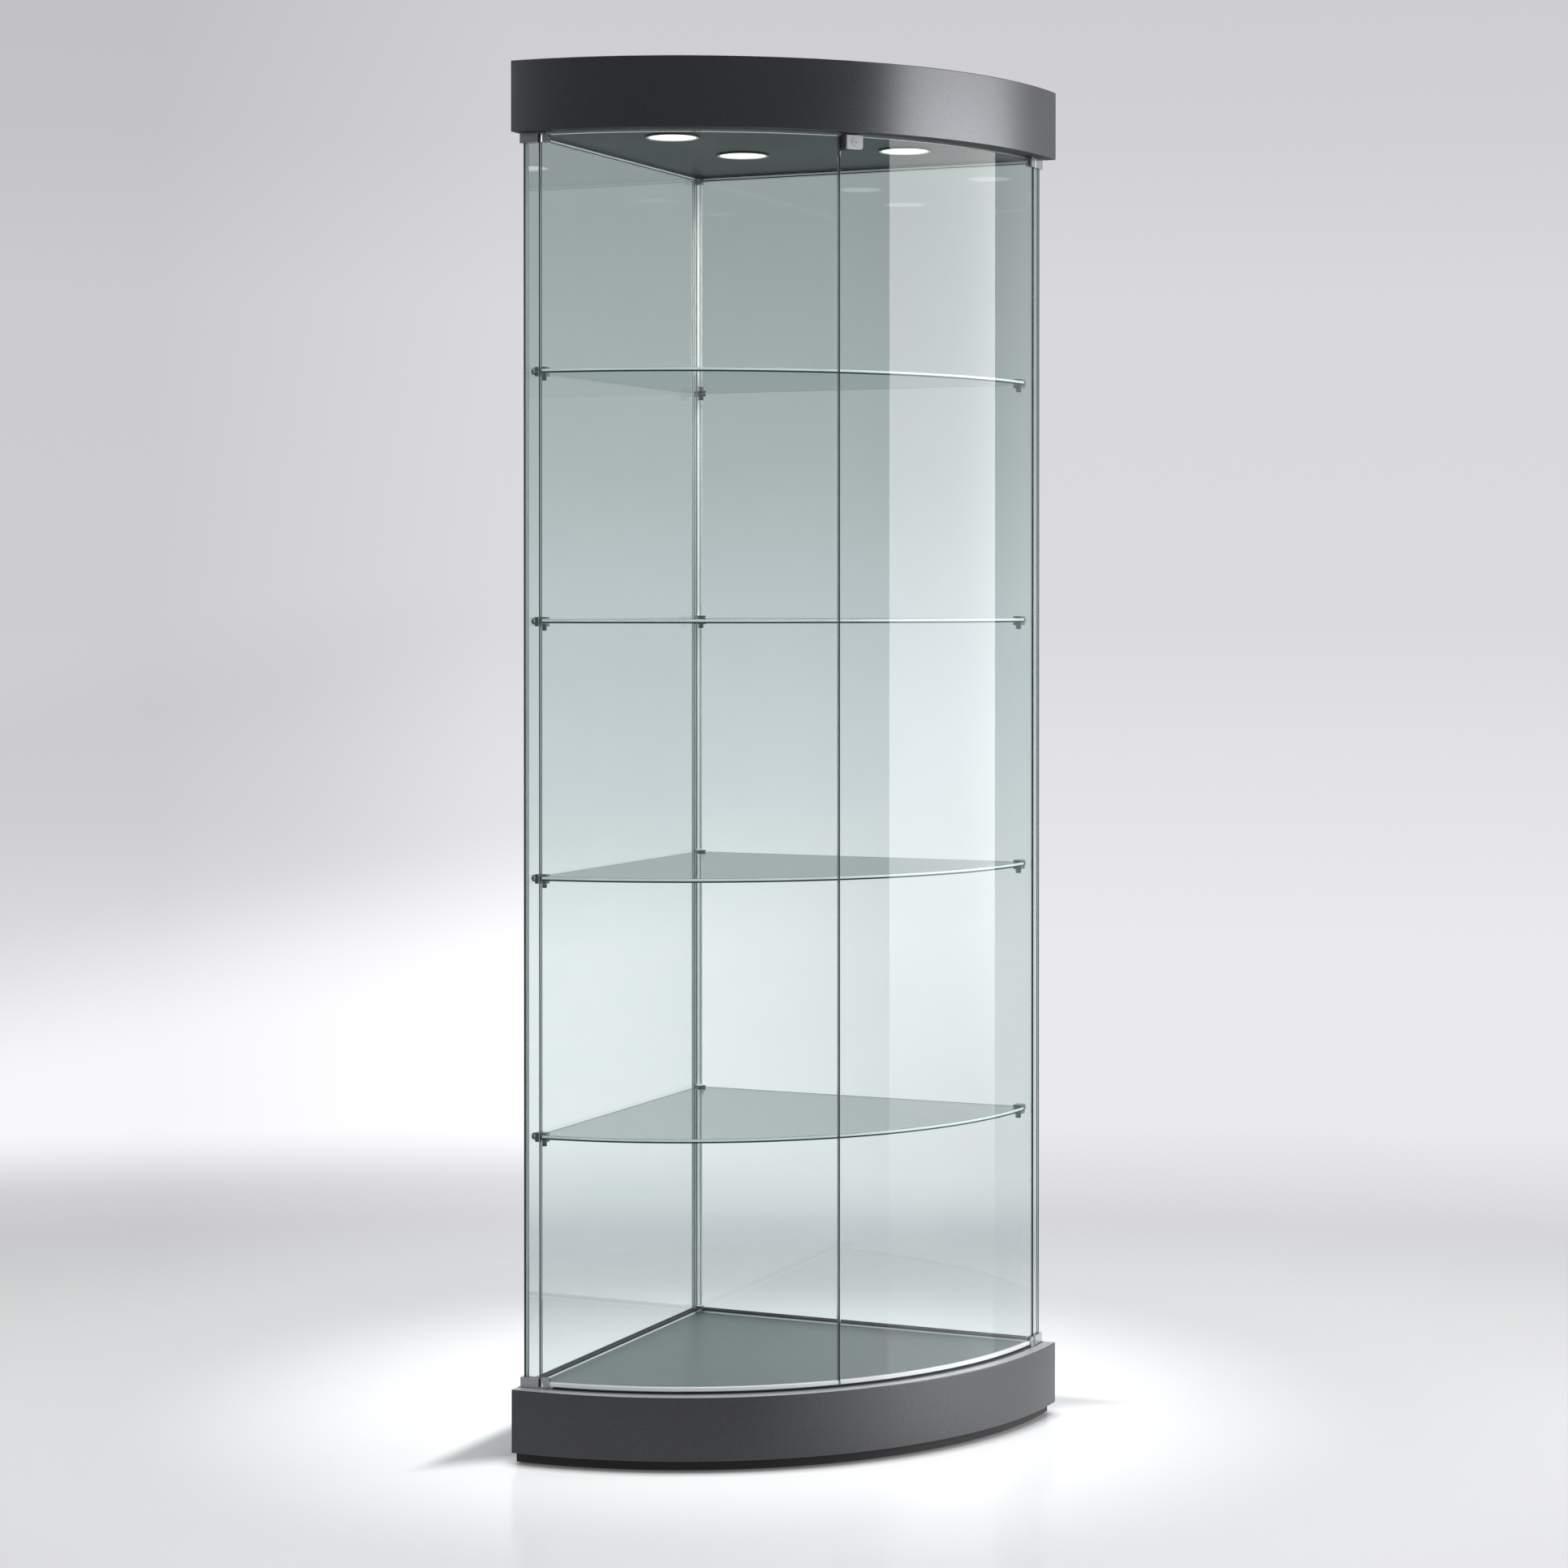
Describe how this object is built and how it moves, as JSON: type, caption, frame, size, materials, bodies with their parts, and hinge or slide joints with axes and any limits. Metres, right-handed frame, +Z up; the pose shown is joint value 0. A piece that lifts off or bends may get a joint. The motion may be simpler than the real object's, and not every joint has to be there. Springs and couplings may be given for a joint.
{
  "type": "corner display cabinet",
  "caption": "Tall quarter-round corner display cabinet with bent glass doors on pivot clamps, clipped glass shelves, a downlit header box, a low base box and a cylinder lock.",
  "frame": {"origin": "centre of the footprint's bounding box, on the floor", "axes": "Z up; the curved front faces -Y and the right angle between the two walls is at the back, at X 0, Y +300 mm; +X is to the right of someone facing the doors"},
  "size_m": [0.8486, 0.6, 1.975],
  "materials": {
    "charcoal_board": "fibreboard with a satin charcoal metallic lacquer",
    "deck_board": "fibreboard with a smooth grey laminate",
    "plinth_board": "fibreboard, matt black",
    "clear_glass": "clear toughened float glass with polished edges",
    "bright_aluminium": "bright anodised extrusion",
    "chromed_fitting": "chromed zinc casting",
    "lamp_metal": "satin turned aluminium",
    "lamp_lens": "opal diffuser, lit from behind",
    "black_plastic": "moulded, fine texture"
  },
  "bodies": {
    "cabinet": {"plinth_board": "plinth_board", "base_fascia": "charcoal_board", "base_back_left": "charcoal_board", "base_back_right": "charcoal_board", "base_deck": "deck_board", "levelling_foot_1": "black_plastic", "levelling_foot_2": "black_plastic", "levelling_foot_3": "black_plastic", "levelling_foot_4": "black_plastic", "header_fascia": "charcoal_board", "header_back_left": "charcoal_board", "header_back_right": "charcoal_board", "header_lid": "charcoal_board", "soffit": "charcoal_board", "lamp_body_1": "lamp_metal", "lamp_body_2": "lamp_metal", "lamp_body_3": "lamp_metal", "lamp_lens_1": "lamp_lens", "lamp_lens_2": "lamp_lens", "lamp_lens_3": "lamp_lens", "lamp_driver": "black_plastic", "power_inlet": "black_plastic", "wall_glass_left": "clear_glass", "wall_glass_right": "clear_glass", "return_glass_left": "clear_glass", "return_glass_right": "clear_glass", "shelf_1": "clear_glass", "shelf_2": "clear_glass", "shelf_3": "clear_glass", "shelf_4": "clear_glass", "corner_post": "bright_aluminium", "channel_lower_left": "bright_aluminium", "channel_lower_right": "bright_aluminium", "channel_upper_left": "bright_aluminium", "channel_upper_right": "bright_aluminium", "corner_clamp_lower_left": "chromed_fitting", "corner_clamp_lower_right": "chromed_fitting", "corner_clamp_upper_left": "chromed_fitting", "corner_clamp_upper_right": "chromed_fitting", "shelf_clip_left_1": "chromed_fitting", "shelf_clip_left_2": "chromed_fitting", "shelf_clip_left_3": "chromed_fitting", "shelf_clip_left_4": "chromed_fitting", "shelf_clip_right_1": "chromed_fitting", "shelf_clip_right_2": "chromed_fitting", "shelf_clip_right_3": "chromed_fitting", "shelf_clip_right_4": "chromed_fitting"},
    "left_door": {"door_glass_left": "clear_glass", "door_rail_left": "bright_aluminium", "pivot_shoe_lower_left": "chromed_fitting", "pivot_shoe_upper_left": "chromed_fitting"},
    "right_door": {"door_glass_right": "clear_glass", "door_rail_right": "bright_aluminium", "pivot_shoe_lower_right": "chromed_fitting", "pivot_shoe_upper_right": "chromed_fitting", "lock_case": "chromed_fitting", "lock_body": "black_plastic"},
    "cylinder": {"lock_cylinder": "chromed_fitting"},
    "bolt": {"lock_bolt": "chromed_fitting"}
  },
  "joints": [
    {"name": "left_door_hinge", "type": "hinge", "parent": "cabinet", "child": "left_door", "pos_m": [-0.37716, -0.13269, 0.113], "axis": [0, 0, -1], "range_deg": [0, 95]},
    {"name": "right_door_hinge", "type": "hinge", "parent": "cabinet", "child": "right_door", "pos_m": [0.37716, -0.13269, 0.113], "axis": [0, 0, 1], "range_deg": [0, 95]},
    {"name": "lock_turn", "type": "hinge", "parent": "right_door", "child": "cylinder", "pos_m": [0.03398, -0.276, 1.8632], "axis": [-0.0589, 0.9983, 0], "range_deg": [0, 90]},
    {"name": "lock_bolt_slide", "type": "slide", "parent": "right_door", "child": "bolt", "axis": [0, 0, 1], "range_m": [0, 0.006]}
  ],
  "couplings": [
    {"joint": "lock_bolt_slide", "follows": "lock_turn", "m_per_rad": 0.003781}
  ]
}
